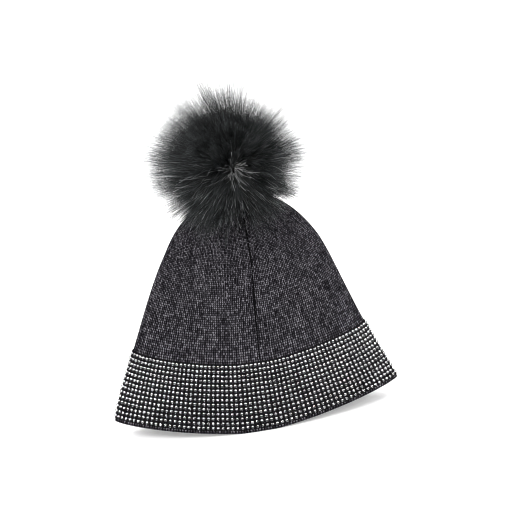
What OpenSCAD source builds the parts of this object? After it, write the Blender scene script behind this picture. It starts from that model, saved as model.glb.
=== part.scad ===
// Knitted winter hat with a band of crystal stones and a fur pompom held by a press stud.
// The hat stands on its hem at z = 0, +Z is up and the side with the centre seam faces -Y.
// All sizes are in millimetres.

/* [Hat] */
// Width across the hem
hem_w = 250; // [220:1:270]
// Depth of the open hem from front to back
hem_depth = 84; // [70:1:100]
// Height from the resting plane to the crown
hat_h = 202; // [190:1:220]
// Width the straight sides would reach at crown height
crown_w = 98; // [88:1:110]
// Depth the straight front and back would reach at crown height
crown_depth = 76; // [66:1:84]
// Rise of the two side corners of the hem above the resting plane
hem_rise = 15; // [8:1:20]
// Sideways lean of the crown
crown_lean = 8.5; // [0:0.5:10]
// Thickness of the knit
knit_t = 2.2; // [1.6:0.1:2.6]
// Thickness of the lining
lining_t = 1.6; // [1.2:0.1:2]

/* [Stone band] */
// Rows of stones
stone_rows = 14; // [6:1:14]
// Columns of stones round the hat
stone_cols = 128; // [96:2:128]
// Distance between two rows
row_pitch = 4.25; // [3.6:0.05:4.25]
// Diameter of one stone
stone_d = 2.8; // [2:0.1:2.9]

/* [Pompom] */
// Diameter of the fur
fur_d = 130; // [110:1:136]
// Diameter of the hide ball under the fur
hide_d = 42; // [36:1:46]
// Diameter of the leather disc at the foot of the pompom
base_d = 24; // [20:1:26]

/* [Snap] */
// Diameter of the snap stud's bulb
bulb_d = 6; // [5:0.5:6]
// Outside diameter of the snap socket
socket_d = 12.6; // [12:0.1:13]

/* [Hidden] */

$fn = 48;
nudge = 0.1;

// Soft shells: points round each ring and rings from hem to crown
ring_points = 60;
ring_step = 360 / ring_points;
shell_rings = 16;
last_ring_angle = 80;
side_roundness = 10;
front_roundness = 6;
hem_fold = 1.5;
lean_h = 150;
rest_half_w = 15;
rise_power = 1.15;
row_tilt = 0.032;
top_flat_r = 6.5;

// Layers between the knit and the lining
layer_gap = 0.15;
lining_gap = 1.2;
lining_inset = knit_t + lining_gap;
lining_face = lining_inset + lining_t;
lining_bottom = 1.5;
patch_t = 0.8;

// Seams and stitches
thread_r = 0.25;
seam_w = 1.4;
seam_t = 0.5;
seam_x = 6;
seam_rings = 16;
stitch_len = 3;
band_stitches = 92;
hem_stitches = 80;

// Stone band
tape_t = 0.7;
tape_bottom = 3.2;
tape_end_gap = 0.2;
first_row = 5.6;
stone_edge = stone_d / 2 + thread_r + 0.35;
last_row = first_row + (stone_rows - 1) * row_pitch;
tape_top = last_row + stone_edge + 0.6;
tape_face = layer_gap + tape_t;
cup_t = 0.45;
cup_d = stone_d + 0.1;
stone_t = 1;
stone_gap = 0.02;
table_share = 0.55;

// Snap, measured up from the crown
hole_r = 2.6;
stud_flange_r = 6;
stud_flange_t = 0.6;
stud_tube_r = 2.2;
neck_r = bulb_d / 2 - 0.4;
neck_top = 2.2;
bulb_top = 4;
bulb_edge = 0.7;
stud_wall_r = 1.4;
stud_rim_r = 3.2;
stud_rim_t = 0.5;
washer_t = 0.6;
washer_r = 6.5;
washer_z = hat_h - lining_face - washer_t - nudge;
socket_z = hat_h + stud_flange_t + 0.2;
socket_roof_z = hat_h + 5;
socket_top_z = hat_h + 6;
socket_edge = 0.4;
rivet_r = 1.75;
turning_gap = 0.05;
rivet_head_r = 2.7;
rivet_head_t = 0.5;
rivet_head_z = hat_h + bulb_top + 0.3;
spring_wire_r = 0.25;
spring_r = bulb_d / 2 + turning_gap + spring_wire_r;
spring_z = socket_z + 0.6;
groove_r = spring_r + spring_wire_r + 0.03;
groove_half_h = spring_wire_r + 0.03;

// Pompom, measured up from the crown
base_z = socket_top_z + 0.2;
base_t = 1.2;
cap_z = base_z + base_t + nudge;
cap_t = 0.6;
cap_r = 5.5;
pivot_z = base_z + base_t;
hide_t = 1.2;
hide_mouth_r = 6;
ball_z = cap_z + cap_t + 0.9 + hide_d / 2;
fur_gap = 0.5;
under_angle = 11;
under_r = base_d / 2 + 2;
tip_angle = 12;
under_top = base_d / 2 * tan(tip_angle) + 0.5;
thread_ring_r = 5.2;
thread_ring_t = 0.55;

// Care label, sewn by its top edge inside the back of the lining
label_w = 28;
label_h = 34;
label_t = 0.4;
label_hinge_z = 46;

function mix(from, to, share) = from + (to - from) * share;

function crown_curve(z, top, roundness) = sqrt(max(0, 1 - pow(z / top, roundness)));

// Half width and half depth of the hat at height z, a distance inside its outer face
function half_w(z, inset) =
    (mix(hem_w, crown_w, z / hat_h) / 2 - inset) * crown_curve(z, hat_h - inset, side_roundness);

function half_d(z, inset) =
    (mix(hem_depth, crown_depth, z / hat_h) / 2 - inset)
    * crown_curve(z, hat_h - inset, front_roundness);

// The section is a lens with soft side folds at the hem and an ellipse at the crown
function fold_power(z) = mix(hem_fold, 1, min(1, z / hat_h));

function lean_at(z) = crown_lean * pow(min(1, z / lean_h), 1.5);

// The hem is flat in the middle and rises towards its two side corners
function rise_at(x) =
    hem_rise * pow(max(0, abs(x) - rest_half_w) / (hem_w / 2 - rest_half_w), rise_power);

// The rows slope down towards the side the crown leans to, most of all half way up the hat
function tilt_at(z) = row_tilt * 4 * z / hat_h * (1 - z / hat_h);

// A point at an angle round the hat and a height up its side, a distance inside its outer face
function skin(angle, z, inset) =
    let (x = half_w(z, inset) * cos(angle),
         y = half_d(z, inset) * sign(sin(angle)) * pow(abs(sin(angle)), fold_power(z)))
    [lean_at(z) + x, y, z + rise_at(x) - tilt_at(z) * x];

function skin_normal(angle, z, inset) =
    let (round_it = skin(angle + 1, z, inset) - skin(angle - 1, z, inset),
         up_it = skin(angle, z + 1, inset) - skin(angle, z - 1, inset),
         out = cross(round_it, up_it))
    out / norm(out);

function skin_ring(z, inset) =
    [for (i = [0:ring_points - 1]) skin(i * ring_step, z, inset)];

function flat_ring(radius, z) =
    [for (i = [0:ring_points - 1])
        [crown_lean + radius * cos(i * ring_step), radius * sin(i * ring_step), z]];

// Height of one ring of a shell: rings are closer together towards the crown
function ring_z(i, bottom, top) = mix(bottom, top, sin(last_ring_angle * i / shell_rings));

// Rings of one face of a shell, from its lower edge to the hole in the crown
function face_rings(inset, bottom) =
    let (top = hat_h - inset)
    concat(
        [for (i = [0:shell_rings])
            skin_ring(ring_z(i, bottom, top), inset)],
        [flat_ring(top_flat_r, top), flat_ring(hole_r, top)]);

function reversed(list) = [for (i = [len(list) - 1:-1:0]) list[i]];

function joined(lists) = [for (list = lists) each list];

// Two triangles for each four-sided patch between one ring and the next
function band_faces(first, second, count) =
    [for (i = [0:count - 1])
        let (j = (i + 1) % count)
        each [[first + i, second + i, second + j], [first + i, second + j, first + j]]];

// A closed tube of rings whose last ring joins its first
module looped_loft(rings) {
    count = len(rings[0]);
    polyhedron(joined(rings), joined([for (r = [0:len(rings) - 1])
        band_faces(r * count, ((r + 1) % len(rings)) * count, count)]));
}

// A bar of rings with a flat cap at each end
module capped_loft(rings) {
    count = len(rings[0]);
    last = (len(rings) - 1) * count;
    sides = joined([for (r = [0:len(rings) - 2]) band_faces(r * count, (r + 1) * count, count)]);
    caps = [[for (i = [0:count - 1]) i], [for (i = [count - 1:-1:0]) last + i]];
    polyhedron(joined(rings), concat(sides, caps));
}

module soft_shell(outer_inset, inner_inset, bottom) {
    looped_loft(concat(face_rings(outer_inset, bottom), reversed(face_rings(inner_inset, bottom))));
}

// Angle round the hat of a point a distance sideways from the middle of its front
function front_angle(x, z, inset) = -acos(x / half_w(z, inset));

function seam_offset(z) = seam_x * min(1, z / tape_top);

// A flat strip up the hat: centred at an angle offset, between two insets
function strip_ring(z, side_x, near, far, side) =
    let (left = side_x - seam_w / 2, right = side_x + seam_w / 2)
    [for (corner = [[left, near], [right, near], [right, far], [left, far]])
        let (p = skin(front_angle(corner[0], z, corner[1]), z, corner[1]))
        [p[0], side * p[1], p[2]]];

// A round bar between two points
module bar(from, to, radius) {
    along = to - from;
    translate(from)
        rotate([0, acos(along[2] / norm(along)), atan2(along[1], along[0])])
            cylinder(h = norm(along), r = radius, $fn = 16);
}

// A row of running stitches round the hat
module stitch_row(count, z, inset) {
    half = 180 / count * stitch_len / (stitch_len + 2.2);
    for (i = [0:count - 1]) {
        middle = row_angle((i + 0.5) / count);
        bar(skin(middle - half, z, inset), skin(middle + half, z, inset), thread_r);
    }
}

// Even steps along the band: distance round the hat against angle, starting at the front
arc_z = (first_row + last_row) / 2;
arc_steps = [for (angle = -90, run = 0; angle <= 270;
    run = run + norm(skin(angle + 1, arc_z, 0) - skin(angle, arc_z, 0)), angle = angle + 1)
    [run, angle]];
arc_total = arc_steps[360][0];

function row_angle(share) = lookup(share * arc_total, arc_steps);

// Puts a part on the outside of the hat, its base against the surface
module on_skin(angle, z, out) {
    n = skin_normal(angle, z, -out);
    translate(skin(angle, z, -out)) rotate([0, acos(n[2]), atan2(n[1], n[0])]) children();
}

module stone_grid(out) {
    for (row = [0:stone_rows - 1])
        for (col = [0:stone_cols - 1])
            on_skin(row_angle((col + 0.5) / stone_cols), first_row + row * row_pitch, out) children();
}

// A turned part on the pompom's axis, from a profile of radius and height
module turned(profile) {
    translate([crown_lean, 0, 0]) rotate_extrude() polygon(profile);
}

module outer_shell() {
    color([0.15, 0.15, 0.17]) soft_shell(0, knit_t, 0);
}

module lining() {
    color([0.12, 0.12, 0.13]) soft_shell(lining_inset, lining_face, lining_bottom);
}

module centre_seam() {
    bottom = tape_top + 0.5;
    top = hat_h * sin(last_ring_angle) - 1;
    color([0.05, 0.05, 0.06]) capped_loft([for (i = [0:seam_rings])
        let (z = mix(bottom, top, sin(90 * i / seam_rings)))
        strip_ring(z, seam_offset(z), -layer_gap - seam_t, -layer_gap, 1)]);
}

module lining_seam() {
    near = lining_face + layer_gap;
    bottom = label_hinge_z + 6;
    top = (hat_h - near) * sin(last_ring_angle) - 4;
    color([0.05, 0.05, 0.06]) mirror([0, 1, 0]) capped_loft([for (i = [0:seam_rings])
        let (z = mix(bottom, top, sin(90 * i / seam_rings)))
        strip_ring(z, 0, near, near + seam_t, 1)]);
}

module hem_stitching() {
    color([0.1, 0.1, 0.1])
        stitch_row(hem_stitches, lining_bottom + 3.5, lining_face + layer_gap + thread_r);
}

module crown_patch() {
    z = hat_h - knit_t - patch_t - 0.2;
    color([0.8, 0.8, 0.78]) turned([[hole_r, z], [top_flat_r, z],
        [top_flat_r, z + patch_t], [hole_r, z + patch_t]]);
}

module crown_thread() {
    color([0.06, 0.06, 0.06]) translate([crown_lean, 0, hat_h + thread_r + nudge])
        rotate_extrude() translate([top_flat_r + 0.8, 0]) circle(thread_r);
}

module band_tape() {
    ends = [-90 + tape_end_gap, 270 - tape_end_gap];
    angles = concat([ends[0]], [for (a = [-90 + ring_step:ring_step:270 - ring_step]) a], [ends[1]]);
    levels = concat([tape_bottom],
        [for (i = [1:shell_rings]) let (z = ring_z(i, 0, hat_h)) if (z < tape_top - nudge) z],
        [tape_top]);
    color([0.04, 0.04, 0.04]) capped_loft([for (a = angles)
        concat([for (z = levels) skin(a, z, -layer_gap)],
            [for (z = reversed(levels)) skin(a, z, -tape_face)])]);
}

module band_join() {
    out = tape_face + layer_gap + thread_r;
    count = stone_rows - 1;
    color([0.05, 0.05, 0.05]) for (i = [0:count - 1]) {
        low = first_row + (i + 0.15) * row_pitch;
        bar(skin(-90, low, -out), skin(-90, low + row_pitch * 0.7, -out), thread_r);
    }
}

module band_top_stitching() {
    color([0.05, 0.05, 0.05]) stitch_row(band_stitches, last_row + stone_edge,
        -tape_face - layer_gap - thread_r);
}

module band_bottom_stitching() {
    color([0.05, 0.05, 0.05]) stitch_row(band_stitches, first_row - stone_d / 2 - thread_r - 0.3,
        -tape_face - layer_gap - thread_r);
}

module stone_cups() {
    color([0.6, 0.6, 0.62]) stone_grid(tape_face + layer_gap)
        cylinder(h = cup_t, d = cup_d, $fn = 16);
}

module rhinestones() {
    color([0.9, 0.92, 0.95]) stone_grid(tape_face + layer_gap)
        translate([0, 0, cup_t + stone_gap])
            cylinder(h = stone_t, d1 = stone_d, d2 = stone_d * table_share, $fn = 16);
}

// The stud's tube passes through the crown and is rolled over a washer inside
module snap_stud() {
    rim_z = washer_z - nudge;
    bulb_r = bulb_d / 2;
    color([0.7, 0.7, 0.72]) turned([
        [stud_wall_r, rim_z - stud_rim_t], [stud_rim_r, rim_z - stud_rim_t],
        [stud_rim_r, rim_z], [stud_tube_r, rim_z], [stud_tube_r, hat_h],
        [stud_flange_r, hat_h], [stud_flange_r, hat_h + stud_flange_t],
        [neck_r, hat_h + stud_flange_t], [neck_r, hat_h + neck_top + neck_r - bulb_r],
        [bulb_r, hat_h + neck_top], [bulb_r, hat_h + bulb_top - bulb_edge],
        [bulb_r - bulb_edge, hat_h + bulb_top], [stud_wall_r, hat_h + bulb_top]]);
}

module snap_washer() {
    color([0.7, 0.7, 0.72]) turned([
        [stud_tube_r + turning_gap, washer_z], [washer_r, washer_z],
        [washer_r, washer_z + washer_t], [stud_tube_r + turning_gap, washer_z + washer_t]]);
}

// The label hangs in front of the lining's back, on the inside
label_y = half_d(label_hinge_z, lining_face) - 3;

module care_label() {
    color([0.9, 0.9, 0.88])
        translate([-label_w / 2, label_y - label_t / 2, label_hinge_z - label_h])
            cube([label_w, label_t, label_h]);
}

module label_stitching() {
    count = 4;
    pitch = label_w / count;
    y = label_y + label_t / 2 + nudge + thread_r;
    color([0.1, 0.1, 0.1]) for (i = [0:count - 1]) {
        x = -label_w / 2 + (i + 0.5) * pitch;
        bar([x - stitch_len / 2, y, label_hinge_z - 0.5], [x + stitch_len / 2, y, label_hinge_z - 0.5],
            thread_r);
    }
}

// The socket's bore takes the bulb, and a groove in the bore holds the ring spring
module snap_socket() {
    bore_r = bulb_d / 2 + turning_gap;
    color([0.7, 0.7, 0.72]) turned([
        [bore_r, socket_z], [socket_d / 2, socket_z], [socket_d / 2, socket_top_z - socket_edge],
        [socket_d / 2 - socket_edge, socket_top_z], [rivet_r + turning_gap, socket_top_z],
        [rivet_r + turning_gap, socket_roof_z], [bore_r, socket_roof_z],
        [bore_r, spring_z + groove_half_h], [groove_r, spring_z + groove_half_h],
        [groove_r, spring_z - groove_half_h], [bore_r, spring_z - groove_half_h]]);
}

module socket_spring() {
    color([0.55, 0.55, 0.57]) translate([crown_lean, 0, spring_z])
        rotate_extrude() translate([spring_r, 0]) circle(spring_wire_r);
}

module base_disc() {
    color([0.08, 0.08, 0.08]) turned([
        [rivet_r + nudge, base_z], [base_d / 2, base_z], [base_d / 2, base_z + base_t],
        [rivet_r + nudge, base_z + base_t]]);
}

// The cap's rivet turns in the roof of the socket and holds the base disc
module snap_cap() {
    color([0.7, 0.7, 0.72]) turned([
        [0, rivet_head_z], [rivet_head_r, rivet_head_z], [rivet_head_r, rivet_head_z + rivet_head_t],
        [rivet_r, rivet_head_z + rivet_head_t], [rivet_r, cap_z], [cap_r, cap_z],
        [cap_r, cap_z + cap_t], [0, cap_z + cap_t]]);
}

module fur_backing() {
    mouth_h = hide_d;
    color([0.3, 0.27, 0.25]) translate([crown_lean, 0, ball_z]) difference() {
        sphere(d = hide_d);
        sphere(r = hide_d / 2 - hide_t);
        translate([0, 0, -mouth_h]) cylinder(h = mouth_h, r = hide_mouth_r);
    }
}

module stuffing() {
    stuffing_r = hide_d / 2 - hide_t - 0.2;
    color([0.92, 0.92, 0.9]) translate([crown_lean, 0, ball_z]) difference() {
        sphere(r = stuffing_r);
        translate([0, 0, -stuffing_r * 1.5 - 0.1]) cube(stuffing_r * [3, 3, 1.3], center = true);
    }
}

module draw_thread() {
    color([0.1, 0.1, 0.1]) translate([crown_lean, 0, ball_z - hide_d / 2 + 1.2])
        rotate_extrude() translate([thread_ring_r, 0]) circle(thread_ring_t);
}

// The fur is open underneath, where the crown stands and the pompom tips from side to side
module fur_pile() {
    reach = fur_d;
    fall = tan(under_angle);
    color([0.1, 0.11, 0.11]) difference() {
        translate([crown_lean, 0, ball_z]) sphere(d = fur_d);
        translate([crown_lean, 0, ball_z]) sphere(r = hide_d / 2 + fur_gap);
        translate([0, 0, pivot_z]) turned([
            [0, under_top], [under_r, under_top], [under_r, -under_r * fall],
            [reach, -reach * fall], [reach, -reach], [0, -reach]]);
    }
}

outer_shell();
lining();
centre_seam();
lining_seam();
hem_stitching();
crown_patch();
crown_thread();
band_tape();
band_join();
band_top_stitching();
band_bottom_stitching();
stone_cups();
rhinestones();
snap_stud();
snap_washer();
label_stitching();
care_label();
snap_socket();
socket_spring();
base_disc();
snap_cap();
fur_backing();
stuffing();
draw_thread();
fur_pile();
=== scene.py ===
"""Looks for a knitted hat with a band of crystal stones and a fur pompom, built round its CAD frame."""

import math

import bpy
import numpy as np
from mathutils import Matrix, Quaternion, Vector


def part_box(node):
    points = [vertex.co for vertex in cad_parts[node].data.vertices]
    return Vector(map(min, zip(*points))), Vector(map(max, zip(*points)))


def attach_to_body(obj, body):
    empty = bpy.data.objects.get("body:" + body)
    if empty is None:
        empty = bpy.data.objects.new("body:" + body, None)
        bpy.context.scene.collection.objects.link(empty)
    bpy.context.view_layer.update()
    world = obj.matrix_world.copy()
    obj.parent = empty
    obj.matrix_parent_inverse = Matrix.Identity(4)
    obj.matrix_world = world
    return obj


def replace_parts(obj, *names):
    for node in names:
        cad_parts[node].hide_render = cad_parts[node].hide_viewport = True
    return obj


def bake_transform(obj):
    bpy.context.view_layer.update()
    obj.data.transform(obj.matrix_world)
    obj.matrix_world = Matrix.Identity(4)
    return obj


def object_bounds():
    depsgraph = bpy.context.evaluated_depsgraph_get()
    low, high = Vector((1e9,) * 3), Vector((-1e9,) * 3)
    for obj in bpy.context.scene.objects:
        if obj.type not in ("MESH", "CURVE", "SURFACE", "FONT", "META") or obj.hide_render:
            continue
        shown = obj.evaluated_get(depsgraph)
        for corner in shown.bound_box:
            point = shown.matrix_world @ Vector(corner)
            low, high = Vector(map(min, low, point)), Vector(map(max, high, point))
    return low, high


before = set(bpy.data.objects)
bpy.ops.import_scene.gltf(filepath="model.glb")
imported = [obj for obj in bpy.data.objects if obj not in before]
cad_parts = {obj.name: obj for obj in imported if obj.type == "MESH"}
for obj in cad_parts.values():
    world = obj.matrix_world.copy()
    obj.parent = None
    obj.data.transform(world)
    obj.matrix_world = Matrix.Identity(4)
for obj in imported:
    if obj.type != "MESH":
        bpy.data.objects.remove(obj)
cad_low, cad_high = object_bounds()

MM = 0.001
UV_MAP = "OFBake"

# Driving sizes, read from the frame
shell_low, shell_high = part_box("outer_shell")
fur_low, fur_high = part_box("fur_pile")
hide_low, hide_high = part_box("fur_backing")
filling_low, filling_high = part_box("stuffing")
label_low, label_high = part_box("care_label")
patch_low, patch_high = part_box("crown_patch")
DISC_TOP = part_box("base_disc")[1].z

HEM_HALF_W = (shell_high.x - shell_low.x) / 2
HEM_HALF_D = (shell_high.y - shell_low.y) / 2
HAT_H = shell_high.z
AXIS_X = (patch_low.x + patch_high.x) / 2
BALL = Vector((AXIS_X, 0, (hide_low.z + hide_high.z) / 2 - 0.4 * MM))
HIDE_R = (hide_high.x - hide_low.x) / 2
HIDE_T = 1.2 * MM
FILLING_R = (filling_high.x - filling_low.x) / 2
FUR_R = (fur_high.x - fur_low.x) / 2

# How the hat narrows towards its crown, leans, rises at its corners and waves
CROWN_W_SHARE = 0.392
CROWN_D_SHARE = 0.905
SIDE_ROUNDNESS = 10
FRONT_ROUNDNESS = 6
HEM_FOLD = 1.5
LEAN_H = 0.743 * HAT_H
LEAN_POWER = 1.5
REST_HALF_W = 0.12 * HEM_HALF_W
RISE_POWER = 1.15
HEM_RISE = 0.12 * HEM_HALF_W
ROW_TILT = 0.032
WAVE = 1.0 * MM

# Layers of the hat
KNIT_T = 2.2 * MM
LINING_INSET = 3.4 * MM
LINING_T = 1.6 * MM
LINING_LIFT = 1.5 * MM

# Band of stones
ROWS = 14
COLUMNS = 128
ROW_PITCH = 4.25 * MM
FIRST_ROW = 5.6 * MM
LAST_ROW = FIRST_ROW + (ROWS - 1) * ROW_PITCH
STONE_R = 1.4 * MM
TAPE_BOTTOM = 3.2 * MM
TAPE_TOP = LAST_ROW + 2.6 * MM
TAPE_T = 0.85 * MM
BAND_LEVEL = 0.5 * TAPE_TOP

# Stitches round and up the knit, the rows of its mesh, and the height where its columns are even
WALES = 224
COURSES = 140
KNIT_ROWS = 128
KNIT_INNER_ROWS = 10
COLUMN_LEVEL = 0.3 * HAT_H

# Thread
THREAD_R = 0.25 * MM
THREAD_OUT = TAPE_T + 0.15 * MM


# ---------------------------------------------------------------- the hat's surface

def crown_curve(height, top, roundness):
    return np.sqrt(np.clip(1 - np.abs(height / top) ** roundness, 0, None))


def half_w(height, inset):
    straight = HEM_HALF_W * (1 - (1 - CROWN_W_SHARE) * height / HAT_H) - inset
    return straight * crown_curve(height, HAT_H - inset, SIDE_ROUNDNESS)


def half_d(height, inset):
    straight = HEM_HALF_D * (1 - (1 - CROWN_D_SHARE) * height / HAT_H) - inset
    return straight * crown_curve(height, HAT_H - inset, FRONT_ROUNDNESS)


def lean(height):
    return AXIS_X * np.clip(height / LEAN_H, 0, 1) ** LEAN_POWER


def corner_rise(x):
    past_rest = np.clip(np.abs(x) - REST_HALF_W, 0, None)
    return HEM_RISE * (past_rest / (HEM_HALF_W - REST_HALF_W)) ** RISE_POWER


def row_tilt(height):
    """The rows slope down towards the side the crown leans to, most of all half way up the hat."""
    up = np.clip(height / HAT_H, 0, 1)
    return ROW_TILT * 4 * up * (1 - up)


def skin(angle, height, inset=0.0):
    """Points on the hat at angles round it and heights up its side, a distance inside its outer face."""
    angle, height = np.broadcast_arrays(np.asarray(angle, float), np.asarray(height, float))
    x = half_w(height, inset) * np.cos(angle)
    power = HEM_FOLD - (HEM_FOLD - 1) * height / HAT_H
    y = half_d(height, inset) * np.sign(np.sin(angle)) * np.abs(np.sin(angle)) ** power
    return np.stack([lean(height) + x, y, height + corner_rise(x) - row_tilt(height) * x], -1)


def directions(surface, angle, height, out):
    """The directions round a surface, up it and out of it, at angles round the hat and heights up it."""
    step_a, step_h = 0.01, 0.5 * MM
    round_it = unit(surface(angle + step_a, height, out) - surface(angle - step_a, height, out))
    up_it = surface(angle, height + step_h, out) - surface(angle, height - step_h, out)
    normal = unit(np.cross(round_it, up_it))
    return round_it, np.cross(normal, round_it), normal


def off_skin(angle, height, out):
    """Points a distance out from the hat's plain outer face."""
    return skin(angle, height, -out)


def soft_wave(angle, height):
    """Slight waves of soft knit, in and out, none at the hem's edge and the crown."""
    free = np.clip(height / (0.12 * HAT_H), 0, 1) * np.clip((HAT_H - height) / (0.2 * HAT_H), 0, 1)
    return free * WAVE * np.tanh(smooth_noise(skin(angle, height), 0.11, 3))


def cloth(angle, height, out):
    """Points a distance out from the outer face. The knit and all that is sewn to it share soft waves."""
    angle, height, out = np.broadcast_arrays(*(np.asarray(v, float) for v in (angle, height, out)))
    _, _, normal = directions(off_skin, angle, height, out)
    wave = np.where(out > -1.1 * KNIT_T, soft_wave(angle, height), 0.0)
    return off_skin(angle, height, out) + normal * wave[..., None]


def cloth_frame(angle, height, out):
    """Points as cloth gives them, with the direction round the cloth, up it and out of it."""
    angle, height, out = np.broadcast_arrays(*(np.asarray(v, float) for v in (angle, height, out)))
    return (cloth(angle, height, out), *directions(cloth, angle, height, out))


def unit(v):
    return v / np.linalg.norm(v, axis=-1, keepdims=True)


def seam_offset(height):
    """The centre seam runs slightly to the right on the band and straight up above it."""
    return 6 * MM * np.clip(height / TAPE_TOP, 0, 1)


def front_angle(side, height):
    return -np.arccos(np.clip(side / half_w(height, 0), -1, 1))


def even_angles(shares, height):
    """Angles that are even steps along the hat's edge at a height, starting at the middle of the front."""
    angle = np.linspace(-math.pi / 2, 1.5 * math.pi, 1441)
    points = skin(angle, height)
    run = np.concatenate([[0], np.cumsum(np.linalg.norm(np.diff(points, axis=0), axis=1))])
    return np.interp(np.asarray(shares) * run[-1], run, angle)


# ---------------------------------------------------------------- mesh building

def new_piece(name, points, faces, material, uvs=None, smooth=True, slots=None):
    """A mesh from points and a list of face arrays of one width each, with a UV for each corner."""
    mesh = bpy.data.meshes.new(name)
    faces = [np.asarray(f, np.int32) for f in faces if len(f)]
    corners = np.concatenate([f.ravel() for f in faces])
    sizes = np.concatenate([np.full(len(f), f.shape[1], np.int32) for f in faces])
    starts = np.concatenate([[0], np.cumsum(sizes)[:-1]]).astype(np.int32)
    mesh.vertices.add(len(points))
    mesh.vertices.foreach_set("co", np.asarray(points, np.float32).ravel())
    mesh.loops.add(len(corners))
    mesh.loops.foreach_set("vertex_index", corners)
    mesh.polygons.add(len(sizes))
    mesh.polygons.foreach_set("loop_start", starts)
    mesh.polygons.foreach_set("loop_total", sizes)
    mesh.polygons.foreach_set("use_smooth", np.full(len(sizes), smooth))
    if slots is not None:
        mesh.polygons.foreach_set("material_index", np.asarray(slots, np.int32))
    if uvs is not None:
        layer = mesh.uv_layers.new(name=UV_MAP)
        layer.data.foreach_set("uv", np.asarray(uvs, np.float32).ravel())
    mesh.update(calc_edges=True)
    mesh.validate()
    for m in material if isinstance(material, (list, tuple)) else [material]:
        mesh.materials.append(m)
    piece = bpy.data.objects.new(name, mesh)
    bpy.context.scene.collection.objects.link(piece)
    return piece


def attach(piece, body, node):
    """Lets a piece ride on a body and stand for a CAD node."""
    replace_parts(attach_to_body(piece, body), node)


def dress(node, material):
    """Gives its material to a CAD node that is shown as it is."""
    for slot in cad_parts[node].material_slots:
        slot.material = material


def grid_faces(rows, columns, wrap_rows=False, wrap_columns=False):
    """Quads over a grid of points held row by row."""
    r = np.arange(rows if wrap_rows else rows - 1)
    c = np.arange(columns if wrap_columns else columns - 1)
    r, c = np.meshgrid(r, c, indexing="ij")
    r2, c2 = (r + 1) % rows, (c + 1) % columns
    quads = np.stack([r * columns + c, r * columns + c2, r2 * columns + c2, r2 * columns + c], -1)
    return quads.reshape(-1, 4)


def grid_uvs(rows, columns, wrap_rows=False, wrap_columns=False):
    """UVs for grid_faces: across the columns and up the rows, both from 0 to 1."""
    r = np.arange(rows if wrap_rows else rows - 1)
    c = np.arange(columns if wrap_columns else columns - 1)
    r, c = np.meshgrid(r, c, indexing="ij")
    u0, u1 = c / len(np.unique(c)), (c + 1) / len(np.unique(c))
    v0, v1 = r / len(np.unique(r)), (r + 1) / len(np.unique(r))
    corners = np.stack([np.stack([u0, v0], -1), np.stack([u1, v0], -1),
                        np.stack([u1, v1], -1), np.stack([u0, v1], -1)], -2)
    return corners.reshape(-1, 2)


def tubes(paths, radii, sides, tones=None):
    """Closed tubes along paths (n, k, 3) with radii (n, k): points, faces and a UV for each corner."""
    n, k, _ = paths.shape
    tones = np.full(n, 0.5) if tones is None else tones
    along = unit(np.gradient(paths, axis=1))
    helper = np.tile([0.31, 0.87, 0.38], (n, 1))[:, None, :]
    side = unit(np.cross(along, helper))
    other = np.cross(along, side)
    turn = 2 * math.pi * np.arange(sides) / sides
    ring = side[:, :, None] * np.cos(turn)[:, None] + other[:, :, None] * np.sin(turn)[:, None]
    points = (paths[:, :, None] + ring * radii[:, :, None, None]).reshape(-1, 3)
    base = (np.arange(n) * k * sides)[:, None, None]
    level = (np.arange(k - 1) * sides)[None, :, None]
    s = np.arange(sides)[None, None, :]
    s2 = (s + 1) % sides
    quads = np.stack([base + level + s, base + level + s2,
                      base + level + sides + s2, base + level + sides + s], -1).reshape(-1, 4)
    strand = np.broadcast_to(tones[:, None, None], (n, k - 1, sides))
    low = np.broadcast_to((np.arange(k - 1) / (k - 1))[None, :, None], (n, k - 1, sides))
    high = low + 1 / (k - 1)
    quad_uv = np.stack([np.stack([strand, low], -1), np.stack([strand + 0.002, low], -1),
                        np.stack([strand + 0.002, high], -1), np.stack([strand, high], -1)], -2)
    foot = (np.arange(n) * k * sides)[:, None] + np.arange(sides)[::-1][None]
    tip = (np.arange(n) * k * sides + (k - 1) * sides)[:, None] + np.arange(sides)[None]
    strand_id = strand[:, 0, :1]
    foot_uv = np.stack([np.repeat(strand_id, sides, 1), np.zeros((n, sides))], -1)
    tip_uv = np.stack([np.repeat(strand_id, sides, 1), np.ones((n, sides))], -1)
    uvs = np.concatenate([quad_uv.reshape(-1, 2), foot_uv.reshape(-1, 2), tip_uv.reshape(-1, 2)])
    return points, [quads, foot, tip], uvs


def smooth_noise(points, scale, seed):
    """Soft waves over points, about -1 to 1, from a few sines with seeded directions."""
    draw = np.random.default_rng(seed)
    total = np.zeros(points.shape[:-1])
    count = 6
    for _ in range(count):
        direction = unit(draw.normal(size=3)) / scale * draw.uniform(0.6, 1.5)
        total += np.sin(points @ direction * 2 * math.pi + draw.uniform(0, 2 * math.pi))
    return total / math.sqrt(count)


# ---------------------------------------------------------------- materials

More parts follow.
